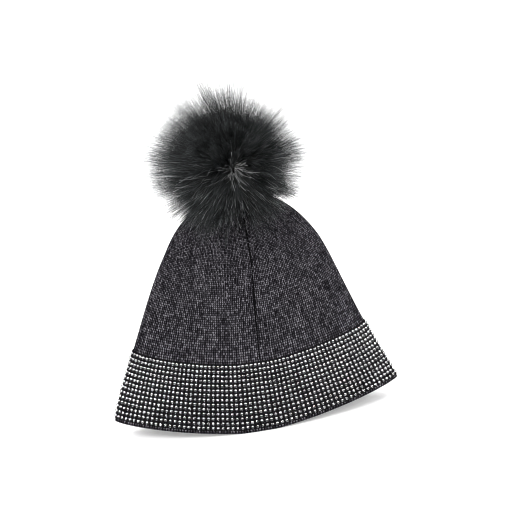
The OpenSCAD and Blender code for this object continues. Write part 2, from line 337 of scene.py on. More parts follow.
class Nodes:
    """Short calls for building the node tree of a material or a world."""

    def __init__(self, owner):
        owner.use_nodes = True
        self.owner = owner
        self.tree = owner.node_tree

    def add(self, kind, **settings):
        node = self.tree.nodes.new(kind)
        for key, value in settings.items():
            setattr(node, key, value)
        return node

    def link(self, source, target):
        self.tree.links.new(source, target)

    def put(self, target, value):
        if isinstance(value, bpy.types.NodeSocket):
            self.link(value, target)
        else:
            target.default_value = value

    def math(self, operation, *values):
        node = self.add("ShaderNodeMath", operation=operation)
        for socket, value in zip(node.inputs, values):
            self.put(socket, value)
        return node.outputs[0]

    def split(self, vector):
        """A vector's three numbers."""
        node = self.add("ShaderNodeSeparateXYZ")
        self.link(vector, node.inputs[0])
        return node.outputs

    def uv(self, scale_u, scale_v):
        """The piece's UV, scaled, as two numbers."""
        u, v, _ = self.split(self.add("ShaderNodeUVMap", uv_map=UV_MAP).outputs[0])
        return self.math("MULTIPLY", u, scale_u), self.math("MULTIPLY", v, scale_v)

    def place(self):
        return self.add("ShaderNodeTexCoord").outputs["Object"]

    def vector(self, x, y, z=0.0):
        node = self.add("ShaderNodeCombineXYZ")
        for socket, value in zip(node.inputs, (x, y, z)):
            self.put(socket, value)
        return node.outputs[0]

    def noise(self, scale, detail=3.0):
        node = self.add("ShaderNodeTexNoise")
        self.link(self.place(), node.inputs["Vector"])
        node.inputs["Scale"].default_value = scale
        node.inputs["Detail"].default_value = detail
        node.inputs["Roughness"].default_value = 0.6
        return node.outputs["Fac"]

    def random(self, vector):
        node = self.add("ShaderNodeTexWhiteNoise", noise_dimensions="3D")
        self.link(vector, node.inputs["Vector"])
        return node.outputs["Value"]

    def ramp(self, value, *stops):
        """Colour against a value: each stop is (position, (r, g, b))."""
        node = self.add("ShaderNodeValToRGB")
        elements = node.color_ramp.elements
        while len(elements) < len(stops):
            elements.new(0.5)
        for element, (position, colour) in zip(elements, stops):
            element.position = position
            element.color = (*colour, 1)
        self.put(node.inputs[0], value)
        return node.outputs[0]

    def mix(self, share, a, b, blend="MIX"):
        node = self.add("ShaderNodeMix", data_type="RGBA", blend_type=blend)
        self.put(node.inputs[0], share)
        self.put(node.inputs[6], a if isinstance(a, bpy.types.NodeSocket) else (*a, 1))
        self.put(node.inputs[7], b if isinstance(b, bpy.types.NodeSocket) else (*b, 1))
        return node.outputs[2]

    def bump(self, height, distance, strength=1.0):
        node = self.add("ShaderNodeBump")
        self.put(node.inputs["Height"], height)
        node.inputs["Distance"].default_value = distance
        node.inputs["Strength"].default_value = strength
        return node.outputs[0]

    def weave(self, across, along, turns):
        """Plain weave: the height of the threads, from -1 to 1, and the same as a share from 0 to 1."""
        height = self.math("MULTIPLY", self.math("SINE", self.math("MULTIPLY", across, turns)),
                           self.math("SINE", self.math("MULTIPLY", along, turns)))
        return height, self.math("ADD", self.math("MULTIPLY", height, 0.5), 0.5)

    def finish(self, colour, roughness, normal=None, **values):
        """Sets the material's surface and gives the material."""
        surface = self.tree.nodes["Principled BSDF"].inputs
        self.put(surface["Base Color"], colour)
        self.put(surface["Roughness"], roughness)
        if normal is not None:
            self.link(normal, surface["Normal"])
        for key, value in values.items():
            self.put(surface[key.replace("_", " ")], value)
        return self.owner


def new_material(name):
    return Nodes(bpy.data.materials.new(name))


# Painted shade for hollows: the gaps between knit stitches and the low threads of the tape's weave.
DEEP_SHADE = (0.0015, 0.0015, 0.002)


def stitch_pattern(m, wales, courses):
    """Stocking stitch on the UV: the height of each V of yarn, and a random number for each leg of a V."""
    slant, leg_middle, leg_thin, leg_short = 1.1, 0.15, 4.8, 2.4
    streak_rows, streak_share = 14.0, 0.2
    u, v = m.uv(wales, courses)
    across = m.math("FRACT", u)
    from_middle = m.math("ABSOLUTE", m.math("SUBTRACT", across, 0.5))
    slanted = m.math("SUBTRACT", v, m.math("MULTIPLY", from_middle, slant))
    up = m.math("FRACT", slanted)
    leg_x = m.math("MULTIPLY", m.math("SUBTRACT", from_middle, leg_middle), leg_thin)
    leg_y = m.math("MULTIPLY", m.math("SUBTRACT", up, 0.5), leg_short)
    square = m.math("ADD", m.math("MULTIPLY", leg_x, leg_x), m.math("MULTIPLY", leg_y, leg_y))
    height = m.math("SQRT", m.math("MAXIMUM", m.math("SUBTRACT", 1.0, square), 0.0))
    leg = m.math("FLOOR", m.math("MULTIPLY", u, 2.0))
    row = m.math("FLOOR", slanted)
    one_leg = m.random(m.vector(leg, row, 1.0))
    wale = m.math("FLOOR", u)
    stagger = m.math("MULTIPLY", m.random(m.vector(wale, 0.0, 3.0)), streak_rows)
    streak_number = m.math("FLOOR", m.math("DIVIDE", m.math("ADD", row, stagger), streak_rows))
    streak = m.random(m.vector(wale, streak_number, 2.0))
    chance = m.math("ADD", m.math("MULTIPLY", streak, streak_share),
                    m.math("MULTIPLY", one_leg, 1 - streak_share))
    return height, chance


def knit_material(name, wales, courses, dark, middle, light):
    """Marled yarn: each leg of each stitch has its own tone, with dark painted shade in the gaps between
    the stitches.
    """
    m = new_material(name)
    height, chance = stitch_pattern(m, wales, courses)
    patches = m.noise(60.0, detail=4.0)
    lot = m.math("ADD", chance, m.math("MULTIPLY", m.math("SUBTRACT", patches, 0.5), 0.25))
    yarn = m.ramp(lot, (0.0, dark), (0.5, middle), (1.0, light))
    # Painted shade: DEEP_SHADE fills the gaps between the stitches, and each leg darkens towards its edges
    # by its height.
    gap = m.mix(0.97, yarn, DEEP_SHADE)
    colour = m.mix(m.math("POWER", height, 0.8), gap, yarn)
    fibres = m.noise(2600.0, detail=2.0)
    normal = m.bump(m.math("ADD", height, m.math("MULTIPLY", fibres, 0.25)), 0.5 * MM, 0.9)
    return m.finish(colour, 0.85, normal, Specular_IOR_Level=0.0)


def thread_material(name, colour):
    m = new_material(name)
    twist = m.add("ShaderNodeTexWave", wave_type="BANDS", bands_direction="DIAGONAL")
    m.link(m.place(), twist.inputs["Vector"])
    twist.inputs["Scale"].default_value = 900
    shade = m.mix(twist.outputs["Fac"], tuple(0.5 * c for c in colour), tuple(1.5 * c for c in colour))
    return m.finish(shade, 0.7, m.bump(twist.outputs["Fac"], 0.1 * MM), Specular_IOR_Level=0.02)


def tape_material():
    """Black woven tape with small painted glints scattered between the stones, and painted shade in the
    hollows of its weave.
    """
    m = new_material("band_tape_weave")
    threads_round, threads_up = 900, 100
    height, share = m.weave(*m.uv(threads_round, threads_up), math.pi)
    # Painted highlights: where the noise is high, the tape's own black turns to painted glints.
    tape_black_and_painted_glints = m.ramp(m.noise(1500.0), (0.5, (0.0045, 0.0043, 0.005)), (0.75, (0.12, 0.115, 0.125)))
    colour = m.mix(share, DEEP_SHADE, tape_black_and_painted_glints)
    return m.finish(colour, 0.8, m.bump(height, 0.15 * MM, 0.7), Specular_IOR_Level=0.0)


def crystal_material():
    m = new_material("cut_crystal")
    shade = m.noise(300.0)
    return m.finish((0.97, 0.975, 0.98, 1), m.math("MULTIPLY", shade, 0.05),
                    Transmission_Weight=1.0, IOR=1.75, Coat_Weight=0.6)


def foil_material():
    m = new_material("silver_foil")
    shade = m.noise(700.0)
    roughness = m.math("ADD", m.math("MULTIPLY", shade, 0.15), 0.08)
    return m.finish((0.5, 0.505, 0.52, 1), roughness, Metallic=1.0)


def steel_material():
    m = new_material("snap_steel")
    turned = m.add("ShaderNodeTexNoise")
    stretch = m.add("ShaderNodeMapping")
    stretch.inputs["Scale"].default_value = (1, 1, 30)
    m.link(m.place(), stretch.inputs["Vector"])
    m.link(stretch.outputs[0], turned.inputs["Vector"])
    turned.inputs["Scale"].default_value = 120
    grey = m.ramp(turned.outputs["Fac"], (0.3, (0.42, 0.42, 0.43)), (0.7, (0.62, 0.62, 0.63)))
    return m.finish(grey, m.math("ADD", m.math("MULTIPLY", turned.outputs["Fac"], 0.2), 0.2),
                    m.bump(turned.outputs["Fac"], 0.02 * MM), Metallic=1.0)


def leather_material(name, dark, light):
    m = new_material(name)
    cells = m.add("ShaderNodeTexVoronoi", feature="DISTANCE_TO_EDGE")
    m.link(m.place(), cells.inputs["Vector"])
    cells.inputs["Scale"].default_value = 1400
    colour = m.mix(m.noise(200.0), dark, light)
    return m.finish(colour, 0.55, m.bump(cells.outputs["Distance"], 0.12 * MM, 0.6))


def cloth_material(name, dark, light, threads):
    """A plain woven cloth with its threads along the object's X and Z."""
    m = new_material(name)
    x, _, z = m.split(m.place())
    height, share = m.weave(x, z, threads)
    return m.finish(m.mix(share, dark, light), 0.7, m.bump(height, 0.08 * MM, 0.6))


def fur_material(name, spread, *stops):
    """Hair whose colour runs from root to tip on the UV's second axis and varies by strand on its first."""
    m = new_material(name)
    tones, rarity = 400.0, 5.0
    strand, along = m.uv(1.0, 1.0)
    number = m.random(m.vector(m.math("FLOOR", m.math("MULTIPLY", strand, tones)), 0.0))
    colour = m.ramp(along, *stops)
    pale = m.math("MULTIPLY", m.math("POWER", number, rarity), spread * 5.0)
    lift = m.math("ADD", 1 - spread * 0.5, pale)
    shade = m.mix(1.0, colour, m.vector(lift, lift, lift), "MULTIPLY")
    return m.finish(shade, 0.42, Specular_IOR_Level=0.03)


# ---------------------------------------------------------------- the knit and its lining

def seam_groove(point, depth):
    """How far the knit dips in along the centre seam on the front."""
    height = point[..., 2]
    side = point[..., 0] - lean(height) - seam_offset(height)
    on_front = (point[..., 1] < 0) & (height > TAPE_TOP)
    return np.where(on_front, depth * np.exp(-(side / (0.9 * MM)) ** 2), 0.0)


def column_angles(columns):
    return even_angles((np.arange(columns) + 0.5) / columns, COLUMN_LEVEL)


def shell_points(insets, heights, columns, ridges=0.0, groove=0.0):
    angle = column_angles(columns)
    a, h = np.meshgrid(angle, heights)
    out = -np.broadcast_to(np.asarray(insets, float)[:, None], h.shape)
    point, _, _, normal = cloth_frame(a, np.clip(h, 0, (HAT_H + out) * 0.999), out)
    ridge = np.where(np.arange(columns) % 2 == 0, 0.5, -0.5) * ridges
    return point + normal * (ridge[None, :] - seam_groove(point, groove))[..., None]


def crown_ring(columns, radius, height):
    angle = column_angles(columns)
    return np.stack([AXIS_X + radius * np.cos(angle), radius * np.sin(angle),
                     np.full(columns, height)], -1)[None]


def soft_shell(name, outer_inset, inner_inset, bottom, columns, rows, inner_rows, ridges, groove, material):
    """A closed shell: up its outer face to the hole in the crown, down its inner face, round its hem."""
    roll = (inner_inset - outer_inset) / 2
    turn = np.radians([0, 22, 45, 68])
    roll_heights = bottom + roll * (1 - np.cos(turn))
    roll_insets = roll * (1 - np.sin(turn))
    hole, flat, last_level, crowding = 2.6 * MM, 6.5 * MM, 0.985, math.radians(86)

    def levels(inset, count):
        """Heights up a face, closer together towards the crown."""
        top = (HAT_H - inset) * last_level
        share = np.sin(np.linspace(0, crowding, count)) / math.sin(crowding)
        return bottom + roll + (top - bottom - roll) * share

    outer = shell_points(np.concatenate([outer_inset + roll_insets, np.full(rows, outer_inset)]),
                         np.concatenate([roll_heights, levels(outer_inset, rows)]), columns, ridges, groove)
    inner = shell_points(np.concatenate([inner_inset - roll_insets[1:], np.full(inner_rows, inner_inset)]),
                         np.concatenate([roll_heights[1:], levels(inner_inset, inner_rows)]), columns)
    loop = np.concatenate([
        outer,
        crown_ring(columns, flat, HAT_H - outer_inset),
        crown_ring(columns, hole, HAT_H - outer_inset),
        crown_ring(columns, hole, HAT_H - inner_inset),
        crown_ring(columns, flat, HAT_H - inner_inset),
        inner[::-1]])
    n = len(loop)
    return new_piece(name, loop.reshape(-1, 3), [grid_faces(n, columns, True, True)], material,
                     grid_uvs(n, columns, True, True))


def make_knit():
    ridge, groove = 0.35 * MM, 1.1 * MM
    courses_on_uv = COURSES * (KNIT_ROWS + KNIT_INNER_ROWS) / KNIT_ROWS
    knit = knit_material("charcoal_knit", WALES, courses_on_uv,
                         (0.012, 0.0112, 0.0135), (0.074, 0.0695, 0.081), (0.36, 0.342, 0.381))
    body = soft_shell("knit_body", 0.0, KNIT_T, 0.0,
                      2 * WALES, KNIT_ROWS, KNIT_INNER_ROWS, ridge, groove, knit)
    attach(body, "hat", "outer_shell")


def make_lining():
    wales, courses, columns, rows = 500, 260, 240, 60
    jersey = knit_material("lining_jersey", wales, courses,
                           (0.006, 0.006, 0.007), (0.012, 0.012, 0.013), (0.03, 0.03, 0.032))
    body = soft_shell("lining_body", LINING_INSET, LINING_INSET + LINING_T, LINING_LIFT,
                      columns, rows, rows, 0.0, 0.0, jersey)
    attach(body, "hat", "lining")


make_knit()
make_lining()


# ---------------------------------------------------------------- threads and the label

thread = thread_material("dark_thread", (0.005, 0.005, 0.0055))


def thread_on_skin(angle_steps, heights, out, radius):
    """Stitches whose two ends dip into the cloth: one tube for each row of angle_steps and heights."""
    point, _, _, normal = cloth_frame(angle_steps, heights, out)
    arch = np.sin(np.linspace(0, math.pi, point.shape[1])) ** 0.5
    path = point + normal * ((arch - 0.8) * radius * 1.6)[None, :, None]
    return tubes(path, np.full(path.shape[:2], radius), 6)


def stitch_row(name, node, count, height, out):
    """A ring of running stitches round the hat at one height."""
    steps, half_stitch = 6, 0.29
    middle = (np.arange(count) + 0.5) / count
    share = middle[:, None] + np.linspace(-half_stitch, half_stitch, steps)[None] / count
    angle = even_angles(share, height)
    points, faces, uvs = thread_on_skin(angle, np.full(angle.shape, height), out, THREAD_R)
    attach(new_piece(name, points, faces, thread, uvs), "hat", node)


def join_stitches():
    """One upright stitch between each two rows of stones, over the join of the band's ends."""
    start, span, steps = 0.15, 0.7, 6
    low = FIRST_ROW + (np.arange(ROWS - 1)[:, None] + start) * ROW_PITCH
    heights = low + np.linspace(0, span, steps)[None] * ROW_PITCH
    front = np.full(heights.shape, -math.pi / 2)
    points, faces, uvs = thread_on_skin(front, heights, THREAD_OUT, THREAD_R)
    attach(new_piece("join_stitches", points, faces, thread, uvs), "hat", "band_join")


def make_centre_seam():
    """A chain of small slanted stitches along the groove in the knit."""
    pitch, reach, depth, radius = 1.5 * MM, 0.25 * MM, 0.4 * MM, 0.22 * MM
    low = np.arange(TAPE_TOP + 1 * MM, 0.975 * HAT_H, pitch)
    paths = []
    for side in (-1, 1):
        along = np.linspace(0, 1, 4)[None]
        height = low[:, None] + 1.25 * pitch * along
        offset = seam_offset(height) + side * reach * (1 - along)
        point, _, _, normal = cloth_frame(front_angle(offset, height), height, -depth)
        arch = np.sin(np.pi * along)[..., None]
        paths.append(point + normal * arch * 0.35 * MM)
    paths = np.concatenate(paths)
    points, faces, uvs = tubes(paths, np.full(paths.shape[:2], radius), 5)
    # Painted shade: this thread is blacker than the other thread, carrying painted shade of the seam's
    # groove as well as its own dark colour.
    black = thread_material("seam_thread_and_painted_shade", (0.0015, 0.0015, 0.0018))
    attach(new_piece("centre_seam_stitches", points, faces, black, uvs), "hat", "centre_seam")


def make_label():
    """A blank label: its top edge is sewn, and the rest hangs in a slight curve."""
    satin = cloth_material("label_satin", (0.62, 0.61, 0.58), (0.82, 0.81, 0.79), 9000)
    across, down, cup_depth = 13, 30, 0.7 * MM
    width = np.linspace(label_low.x, label_high.x, across)
    height = np.linspace(label_high.z, label_low.z, down)
    x, z = np.meshgrid(width, height)
    hang = (label_high.z - z) / (label_high.z - label_low.z)
    cup = (1 - (2 * (x - label_low.x) / (label_high.x - label_low.x) - 1) ** 2) * hang
    front_y = label_low.y - cup_depth * cup
    back_y = front_y + (label_high.y - label_low.y)
    front = np.stack([x, front_y, z], -1)
    back = np.stack([x, back_y, z], -1)
    loop = np.concatenate([front, back[::-1]])
    n = len(loop)
    ends = [np.arange(n)[None, ::-1] * across, np.arange(n)[None] * across + across - 1]
    uvs = np.concatenate([grid_uvs(n, across, True), np.zeros((2 * n, 2))])
    piece = new_piece("blank_label", loop.reshape(-1, 3), [grid_faces(n, across, True)] + ends, satin, uvs,
                      smooth=False)
    attach(piece, "label_flap", "care_label")


join_stitches()
stitch_row("top_stitches", "band_top_stitching", 92, TAPE_TOP - 0.7 * MM, THREAD_OUT)
stitch_row("bottom_stitches", "band_bottom_stitching", 92, TAPE_BOTTOM + 0.5 * MM, THREAD_OUT)
stitch_row("hem_stitches", "hem_stitching", 80, 5.0 * MM, -(LINING_INSET + LINING_T + 0.3 * MM))
make_centre_seam()
for sewn_node in ("lining_seam", "crown_thread", "label_stitching", "draw_thread"):
    dress(sewn_node, thread)
make_label()


# ---------------------------------------------------------------- the band and its stones

def make_band():
    """The tape: a strip round the hat whose two ends meet in the middle of the front."""
    half_gap, columns, levels, back_out = 0.0006, 400, 14, 0.1 * MM
    angle = even_angles(np.linspace(half_gap, 1 - half_gap, columns), BAND_LEVEL)
    heights = np.linspace(TAPE_BOTTOM, TAPE_TOP, levels)
    face = [cloth(angle, height, TAPE_T) for height in heights]
    back = [cloth(angle, height, back_out) for height in heights[::-1]]
    rings = np.array(face + back)
    rows = len(rings)
    ends = [np.arange(rows)[None, ::-1] * columns, np.arange(rows)[None] * columns + columns - 1]
    uvs = np.concatenate([grid_uvs(rows, columns, True), np.zeros((2 * rows, 2))])
    piece = new_piece("stone_band", rings.reshape(-1, 3),
                      [grid_faces(rows, columns, True)] + ends, tape_material(), uvs, smooth=False)
    attach(piece, "hat", "band_tape")


def stone_places():
    """Centre and directions of each stone, row by row."""
    row, col = np.meshgrid(np.arange(ROWS), np.arange(COLUMNS), indexing="ij")
    angle = even_angles((col.ravel() + 0.5) / COLUMNS, BAND_LEVEL)
    height = FIRST_ROW + row.ravel() * ROW_PITCH
    return cloth_frame(angle, height, TAPE_T + 0.1 * MM)


def spread_on_stones(shape, faces, places, tilt, seed):
    """A copy of a small shape, in its own x, y and out, at every stone, with a random turn and tilt."""
    draw = np.random.default_rng(seed)
    point, right, up, out = places
    n = len(point)
    turn = draw.uniform(0, 2 * math.pi, n)[:, None]
    out = unit(out + right * draw.normal(0, tilt, (n, 1)) + up * draw.normal(0, tilt, (n, 1)))
    x_axis = unit(np.cross(up, out))
    y_axis = np.cross(out, x_axis)
    x_turned = x_axis * np.cos(turn) + y_axis * np.sin(turn)
    y_turned = np.cross(out, x_turned)
    axes = np.stack([x_turned, y_turned, out], 1)
    points = point[:, None] + np.einsum("pk,nkj->npj", shape, axes)
    offsets = np.arange(n)[:, None, None] * len(shape)
    return points.reshape(-1, 3), [(f[None] + offsets).reshape(-1, f.shape[1]) for f in faces]


def ringed_shape(profile, sides, twists):
    """A closed shape of flat facets: rings of (radius, height), each turned by a share of one side."""
    rings = []
    for (radius, height), twist in zip(profile, twists):
        turn = 2 * math.pi * (np.arange(sides) + twist) / sides
        rings.append(np.stack([radius * np.cos(turn), radius * np.sin(turn), np.full(sides, height)], -1))
    points = np.concatenate(rings)
    triangles = []
    for level in range(len(profile) - 1):
        a, b = level * sides, (level + 1) * sides
        for i in range(sides):
            j = (i + 1) % sides
            if twists[level + 1] < twists[level]:
                triangles += [(a + i, b + j, b + i), (a + i, a + j, b + j)]
            else:
                triangles += [(a + i, a + j, b + i), (a + j, b + j, b + i)]
    caps = np.array([np.arange(sides)[::-1], np.arange(sides) + (len(profile) - 1) * sides])
    return points, [np.array(triangles), caps]


def front_uvs(points, faces):
    """A UV for each corner, laid out as seen from the front."""
    margin = 1.1
    flat = points[:, [0, 2]] / [2 * margin * HEM_HALF_W, HAT_H] + [0.5, 0.05]
    return np.concatenate([flat[np.asarray(f).ravel()] for f in faces])


def make_foil_cups(places):
    """The shallow foil back under each stone."""
    profile = [(STONE_R * 0.86, 0.0), (STONE_R * 0.92, 0.25 * MM), (STONE_R * 0.88, 0.3 * MM)]
    cup = ringed_shape(profile, 12, [0, 0, 0])
    points, faces = spread_on_stones(*cup, places, 0.0, 5)
    cups = new_piece("foil_cups", points, faces, foil_material(), front_uvs(points, faces), smooth=False)
    attach(cups, "hat", "stone_cups")


def make_stones(places):
    """The cut stones: a girdle, a ring of facets and a flat table, each stone tilted its own way."""
    profile = [(STONE_R * 0.92, 0.33 * MM), (STONE_R * 0.98, 0.5 * MM), (STONE_R * 0.84, 0.9 * MM),
               (STONE_R * 0.46, 1.22 * MM)]
    tilt = 0.12
    gem = ringed_shape(profile, 8, [0, 0, 0.5, 0])
    points, faces = spread_on_stones(*gem, places, tilt, 6)
    stones = new_piece("crystal_stones", points, faces, crystal_material(), front_uvs(points, faces),
                       smooth=False)
    attach(stones, "hat", "rhinestones")


make_band()
stones_at = stone_places()
make_foil_cups(stones_at)
make_stones(stones_at)


# ---------------------------------------------------------------- the pompom

# Directions from the pompom's middle: the whorl that the hair radiates from, and the tuft on top
WHORL = unit(np.array([0.24, -0.96, -0.01]))
DOWN = np.array([0.0, 0.0, -1.0])
TUFT = unit(np.array([-0.05, 0.33, 1.0]))
MOUTH_ANGLE = math.radians(19)
SKIRT_ANGLE = math.radians(41.5)
FUR_TOP = BALL.z + FUR_R + 18 * MM
LOCKS = 300
LEVEL = [1, 1, 0]
TINY = 1e-9


def sphere_spread(count, draw):
    """Directions spread evenly over a sphere, each moved a little."""
    i = np.arange(count) + 0.5
    polar = np.arccos(1 - 2 * i / count)
    turn = math.pi * (1 + 5 ** 0.5) * i
    even = np.stack([np.sin(polar) * np.cos(turn), np.sin(polar) * np.sin(turn), np.cos(polar)], -1)
    return unit(even + draw.normal(0, 1.2 / math.sqrt(count), even.shape))


def angle_from(direction, axis):
    return np.arccos(np.clip(direction @ axis, -1, 1))


def combed(direction):
    """Where the tips of hair grown along a direction end: away from the whorl and clear of the crown."""
    combing, reach = 0.62, math.radians(105)
    away = (direction @ WHORL)[:, None] * direction - WHORL
    sweep = combing * np.linalg.norm(away, axis=-1, keepdims=True)
    swept = unit(direction * np.cos(sweep) + unit(away + TINY) * np.sin(sweep))
    below = angle_from(swept, DOWN)
    lifted = SKIRT_ANGLE + (reach - SKIRT_ANGLE) * (below / reach) ** 1.1
    lifted = np.where(below < reach, lifted, below)
    level = unit(swept * LEVEL + TINY)
    return level * np.sin(lifted)[:, None] + DOWN * np.cos(lifted)[:, None]


def reach_of_fur(direction):
    """How far long and short hair reaches each way, furthest in the tuft and over the crown's front."""
    below = angle_from(direction, DOWN)
    skirt = np.exp(-((below - math.radians(50)) / math.radians(13)) ** 2)
    front = np.clip(-unit(direction * LEVEL + TINY)[:, 1], 0, 1) ** 2
    tuft = np.exp(-(angle_from(direction, TUFT) / math.radians(20)) ** 2)
    oval = 0.09 * direction[:, 0] ** 4 - 0.12 * direction[:, 1] ** 4
    long_reach = 1.17 + oval + 0.26 * tuft + skirt * (0.06 + 0.2 * front)
    short_reach = 0.8 - 0.15 * upward(direction) + skirt * (0.2 + 0.3 * front)
    to_top = (FUR_TOP - BALL.z) / np.maximum(direction[:, 2], 0.2)
    return np.minimum(FUR_R * long_reach, to_top), FUR_R * short_reach


def upward(direction):
    """From 0 at the sides to 1 at the top, where the dense fur is short and only sparse wisps are long."""
    return np.clip(direction[:, 2], 0, 1) ** 1.5


def clear_of_crown(points):
    """Points lifted out of the space the crown sweeps when the pompom turns."""
    gap, disc_reach = 1.2 * MM, 14 * MM
    heights = np.linspace(0.5 * HAT_H, 0.9999 * HAT_H, 200)
    radii = half_w(heights, 0)
    radius = np.hypot(points[..., 0] - AXIS_X, points[..., 1])
    crown = np.interp(radius, radii[::-1], heights[::-1]) + corner_rise(radius) + gap
    crown = np.maximum(crown, np.where(radius < disc_reach, DISC_TOP + gap, 0))
    lifted = points.copy()
    lifted[..., 2] = np.where(radius < radii[0], np.maximum(points[..., 2], crown), points[..., 2])
    return lifted


def hair_paths(root, tip, length, bend, steps):
    """Paths from the hide to each tip, which turn soon after the root and bend sideways towards the tip."""
    s = np.linspace(0, 1, steps)[None, :, None]
    turn = 1 - (1 - s) ** 2
    direction = unit(root[:, None] * (1 - turn) + tip[:, None] * turn)
    start = HIDE_R - 0.8 * MM
    radius = start + (length[:, None, None] - start) * s
    side = bend[:, None] * s ** 2
    return clear_of_crown(np.array(BALL) + direction * radius + side)


def over_crown(tip):
    """Whether hair hangs over the front of the crown."""
    return (angle_from(tip, DOWN) < math.radians(68)) & (tip[:, 1] < -0.3)


def hair_locks():
    """The locks that hair gathers into: where each grows and ends, its share of full length, its bend."""
    locks = sphere_spread(LOCKS, np.random.default_rng(40))
    length = np.random.default_rng(41).uniform(0.9, 1.0, LOCKS)
    bend = np.random.default_rng(42).normal(0, 2.2 * MM, locks.shape)
    return locks, combed(locks), length, bend


def fur_layer(clumps, per_clump, seed, long_share, long_range, short_range, chosen=None):
    """Clumped hair: clumps follow the locks, and strands follow their clump.

    long_share is the share of long clumps, whose strands end in the domes of the locks. The two ranges
    scale how far long and short strands reach.
    """
    follow, upward_loss = 0.25, 0.35
    hollow_depth, hollow_angle = 0.5, math.radians(8)
    root_spread, long_spread, short_spread = 0.042, 0.12, 0.022
    dome_drop, dome_floor = 10, 0.75
    clump_bend, strand_bend, ragged = 1.5 * MM, 0.8 * MM, 0.12
    draw = np.random.default_rng(seed)
    locks, lock_tip, lock_length, lock_bend = hair_locks()
    clump = sphere_spread(clumps, draw)
    clump = clump[angle_from(clump, DOWN) > MOUTH_ANGLE]
    if chosen is not None:
        clump = clump[chosen(combed(clump))]
    nearest = np.argmax(clump @ locks.T, axis=1)
    tip = unit(combed(clump) * (1 - follow) + lock_tip[nearest] * follow)
    is_long = draw.random(len(clump)) < long_share * (1 - upward_loss * upward(tip))
    hollow = 1 - hollow_depth * np.exp(-(angle_from(clump, WHORL) / hollow_angle) ** 2)
    short_length = reach_of_fur(tip)[1] * draw.uniform(*short_range, len(clump))
    short_length *= hollow * lock_length[nearest]
    bend = draw.normal(0, clump_bend, (len(clump), 3)) + lock_bend[nearest]
    many = np.repeat(np.arange(len(clump)), per_clump)
    count = len(many)
    root = unit(clump[many] + draw.normal(0, root_spread, (count, 3)))
    spread = np.where(is_long, long_spread, short_spread)[many, None]
    own_tip = unit(tip[many] + draw.normal(0, 1, (count, 3)) * spread)
    own_lock = np.argmax(own_tip @ lock_tip.T, axis=1)
    dome = 1 - dome_drop * (1 - np.sum(own_tip * lock_tip[own_lock], axis=1))
    long_length = reach_of_fur(own_tip)[0] * hollow[many] * lock_length[own_lock]
    long_length *= np.maximum(dome, dome_floor)
    own_length = np.where(is_long[many], long_length * draw.uniform(*long_range, count),
                          short_length[many] * (1 - ragged * draw.random(count) ** 2))
    own_bend = bend[many] + draw.normal(0, strand_bend, (count, 3))
    tone = draw.random(len(clump))[many] * 0.8 + draw.random(count) * 0.2
    return root, own_tip, own_length, own_bend, tone


def stray_hairs(count, seed):
    """Pale hairs that lie across the fur, most of them on its lower front."""
    draw = np.random.default_rng(seed)
    root = unit(draw.normal(0, 0.7, (count, 3)) + [0.1, -0.9, -0.6])
    kept = (angle_from(root, DOWN) > math.radians(35)) & (root[:, 2] < 0.25) & (root[:, 1] < 0)
    root = root[kept & (angle_from(root, WHORL) > math.radians(22))]
    tip = combed(root)
    length = reach_of_fur(tip)[0] * draw.uniform(0.76, 0.86, len(root))
    across = np.cross(tip, draw.normal(0, 1, root.shape))
    bend = unit(across) * draw.uniform(2, 14, (len(root), 1)) * MM
    return root, tip, length, bend, draw.random(len(root))


def whorl_fuzz(count, seed):
    """Short pale curls at the middle of the whorl, just above its hollow."""
    draw = np.random.default_rng(seed)
    middle = unit(WHORL + [-0.13, 0.0, 0.09])
    root = unit(middle + draw.normal(0, 0.06, (count, 3)))
    tip = unit(middle + draw.normal(0, 0.1, (count, 3)))
    length = FUR_R * draw.uniform(0.74, 0.84, count)
    return root, tip, length, draw.normal(0, 5 * MM, (count, 3)), draw.random(count)


def hair_pieces(name, hair, root_r, tip_r, steps, material, strands_each):
    """Meshes of at most strands_each hairs."""
    root, tip, length, bend, tone = hair
    taper = np.linspace(0, 1, steps) ** 2
    pieces = []
    for number, start in enumerate(range(0, len(root), strands_each)):
        part = slice(start, start + strands_each)
        paths = hair_paths(root[part], tip[part], length[part], bend[part], steps)
        radii = np.broadcast_to(root_r + (tip_r - root_r) * taper, paths.shape[:2])
        points, faces, uvs = tubes(paths, radii, 3, tone[part])
        piece = new_piece(f"{name}_{number + 1}", points, faces, material, uvs)
        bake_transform(piece)
        pieces.append(piece)
    return pieces


def gathered_ball(name, outer_r, inner_r, mouth_r, gathers, depth, lumps, material):
    """A hollow ball with a mouth below, gathered into folds round the mouth. inner_r 0 makes it solid."""
    columns, rows, fold_reach, top_hole = 96, 40, 0.55, 0.02
    turn = 2 * math.pi * np.arange(columns) / columns

    def face(radius):
        polar = np.linspace(math.asin(mouth_r / radius), math.pi - top_hole, rows)[:, None]
        fade = np.exp(-polar / fold_reach)
        fold = fade * depth * np.cos(gathers * turn)[None]
        out = np.stack([np.sin(polar) * np.cos(turn), np.sin(polar) * np.sin(turn),
                        -np.cos(polar) * np.ones_like(turn)], -1)
        wave = smooth_noise(out, 0.9, 8) * lumps
        return np.array(BALL) + out * (radius - np.abs(wave) + fold - depth * fade)[..., None]

    grid = face(outer_r)
    if inner_r > 0:
        grid = np.concatenate([face(inner_r)[::-1], grid])
    n = len(grid)
    first = np.arange(columns)[None, ::-1]
    last = np.arange(columns)[None] + (n - 1) * columns
    uvs = np.concatenate([grid_uvs(n, columns, False, True), np.zeros((2 * columns, 2))])
    faces = [grid_faces(n, columns, False, True), first, last]
    return new_piece(name, grid.reshape(-1, 3), faces, material, uvs)


def make_hide_ball():
    hide = leather_material("fur_hide", (0.05, 0.045, 0.042), (0.12, 0.11, 0.1))
    ball = gathered_ball("hide_ball", HIDE_R, HIDE_R - HIDE_T, 6 * MM, 22, 0.5 * MM, 0.0, hide)
    attach(ball, "pompom", "fur_backing")


